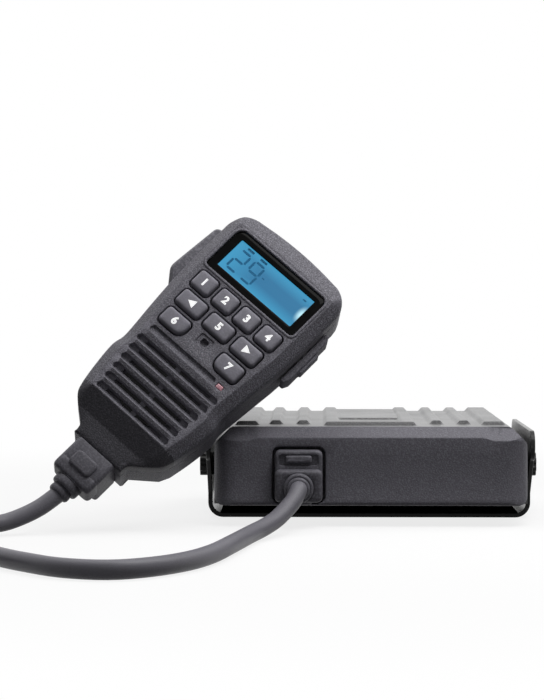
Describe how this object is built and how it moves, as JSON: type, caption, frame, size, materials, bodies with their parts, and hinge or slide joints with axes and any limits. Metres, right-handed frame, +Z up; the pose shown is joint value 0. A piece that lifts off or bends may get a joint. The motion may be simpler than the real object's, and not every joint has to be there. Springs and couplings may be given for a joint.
{
  "type": "mobile two-way radio",
  "caption": "Low ribbed radio case in a tilting U bracket, with a remote handset that holds the display, keys and loudspeaker and is joined to it by a smooth cord.",
  "frame": {"origin": "middle of the underside of the bracket's base, on the mounting surface", "axes": "+Z up from the mounting surface, the radio's front faces -Y, +X to the right seen from the front"},
  "size_m": [0.2634, 0.2502, 0.1],
  "materials": {
    "case_plastic": "fine moulded texture",
    "cover_metal": "dark grey satin paint",
    "chassis_metal": "black satin paint",
    "bracket_steel": "black satin paint",
    "thumbscrew_steel": "black",
    "washer_rubber": "matt",
    "circuit_board": "solder mask",
    "tinplate": "plain",
    "black_parts": "plain",
    "nickel": "nickel plate",
    "insulator": "plain",
    "contact": "plain",
    "handset_plastic": "fine moulded texture",
    "lens": "clear with a black border",
    "lcd": "blue backlit",
    "light_guide": "plain",
    "keys": "fine matt",
    "magnet": "plain",
    "cloth": "fine weave",
    "light_pipe": "clear red",
    "soft_touch": "matt",
    "cord_jacket": "satin",
    "plug_moulding": "satin",
    "modular_plastic": "clear"
  },
  "bodies": {
    "radio": {"radio_front_panel": "case_plastic", "radio_top_cover": "cover_metal", "radio_chassis": "chassis_metal", "power_gland": "washer_rubber", "main_board": "circuit_board", "handset_board": "circuit_board", "shield_can": "tinplate", "cover_screws": "tinplate", "handset_screws": "tinplate", "key_domes": "tinplate", "loudspeaker_frame": "tinplate", "hanger_stud": "tinplate", "microphone_capsule": "tinplate", "output_transistor": "black_parts", "radio_cord_socket": "black_parts", "speaker_jack": "black_parts", "ptt_switch": "black_parts", "accessory_jack": "black_parts", "handset_cord_socket": "black_parts", "loudspeaker_cone": "black_parts", "antenna_socket": "nickel", "antenna_insulator": "insulator", "antenna_contact": "contact", "handset_front_shell": "handset_plastic", "handset_back_shell": "handset_plastic", "display_lens": "lens", "lcd_glass": "lcd", "backlight": "light_guide", "loudspeaker_magnet": "magnet", "grille_cloth": "cloth", "status_light": "light_pipe", "cord_radio_run": "cord_jacket", "cord_coil": "cord_jacket", "cord_handset_run": "cord_jacket", "radio_plug": "plug_moulding", "handset_plug": "plug_moulding", "radio_modular_plug": "modular_plastic", "handset_modular_plug": "modular_plastic"},
    "bracket": {"bracket": "bracket_steel", "bracket_washers": "washer_rubber"},
    "left_thumbscrew": {"left_thumbscrew": "thumbscrew_steel"},
    "right_thumbscrew": {"right_thumbscrew": "thumbscrew_steel"},
    "ptt_bar": {"ptt_bar": "soft_touch"},
    "jack_cover": {"jack_cover": "soft_touch"},
    "top_key_1": {"top_key_1": "keys"},
    "top_key_2": {"top_key_2": "keys"},
    "top_key_3": {"top_key_3": "keys"},
    "top_key_4": {"top_key_4": "keys"},
    "arrow_key_left": {"arrow_key_left": "keys"},
    "centre_key": {"centre_key": "keys"},
    "arrow_key_right": {"arrow_key_right": "keys"},
    "lower_key_left": {"lower_key_left": "keys"},
    "lower_key_right": {"lower_key_right": "keys"}
  },
  "joints": [
    {"name": "bracket_tilt", "type": "hinge", "parent": "radio", "child": "bracket", "pos_m": [0, 0, 0.0165], "axis": [1, 0, 0], "range_deg": [-12, 12]},
    {"name": "left_thumbscrew_turn", "type": "hinge", "parent": "bracket", "child": "left_thumbscrew", "pos_m": [0, 0, 0.0165], "axis": [1, 0, 0], "continuous": true},
    {"name": "right_thumbscrew_turn", "type": "hinge", "parent": "bracket", "child": "right_thumbscrew", "pos_m": [0, 0, 0.0165], "axis": [1, 0, 0], "continuous": true},
    {"name": "top_key_1_press", "type": "slide", "parent": "radio", "child": "top_key_1", "axis": [-0.0796, 0.9101, -0.4067], "range_m": [0, 0.0008], "stiffness_N_per_m": 1500},
    {"name": "top_key_2_press", "type": "slide", "parent": "radio", "child": "top_key_2", "axis": [-0.0796, 0.9101, -0.4067], "range_m": [0, 0.0008], "stiffness_N_per_m": 1500},
    {"name": "top_key_3_press", "type": "slide", "parent": "radio", "child": "top_key_3", "axis": [-0.0796, 0.9101, -0.4067], "range_m": [0, 0.0008], "stiffness_N_per_m": 1500},
    {"name": "top_key_4_press", "type": "slide", "parent": "radio", "child": "top_key_4", "axis": [-0.0796, 0.9101, -0.4067], "range_m": [0, 0.0008], "stiffness_N_per_m": 1500},
    {"name": "arrow_key_left_press", "type": "slide", "parent": "radio", "child": "arrow_key_left", "axis": [-0.0796, 0.9101, -0.4067], "range_m": [0, 0.0008], "stiffness_N_per_m": 1500},
    {"name": "centre_key_press", "type": "slide", "parent": "radio", "child": "centre_key", "axis": [-0.0796, 0.9101, -0.4067], "range_m": [0, 0.0008], "stiffness_N_per_m": 1500},
    {"name": "arrow_key_right_press", "type": "slide", "parent": "radio", "child": "arrow_key_right", "axis": [-0.0796, 0.9101, -0.4067], "range_m": [0, 0.0008], "stiffness_N_per_m": 1500},
    {"name": "lower_key_left_press", "type": "slide", "parent": "radio", "child": "lower_key_left", "axis": [-0.0796, 0.9101, -0.4067], "range_m": [0, 0.0008], "stiffness_N_per_m": 1500},
    {"name": "lower_key_right_press", "type": "slide", "parent": "radio", "child": "lower_key_right", "axis": [-0.0796, 0.9101, -0.4067], "range_m": [0, 0.0008], "stiffness_N_per_m": 1500},
    {"name": "ptt_press", "type": "slide", "parent": "radio", "child": "ptt_bar", "axis": [0.7412, -0.2188, -0.6346], "range_m": [0, 0.0012], "stiffness_N_per_m": 2200},
    {"name": "jack_cover_swing", "type": "hinge", "parent": "radio", "child": "jack_cover", "pos_m": [-0.0149, -0.03638, 0.06081], "axis": [0.0796, -0.9101, 0.4067], "range_deg": [0, 90], "stiffness_Nm_per_rad": 0.004}
  ]
}
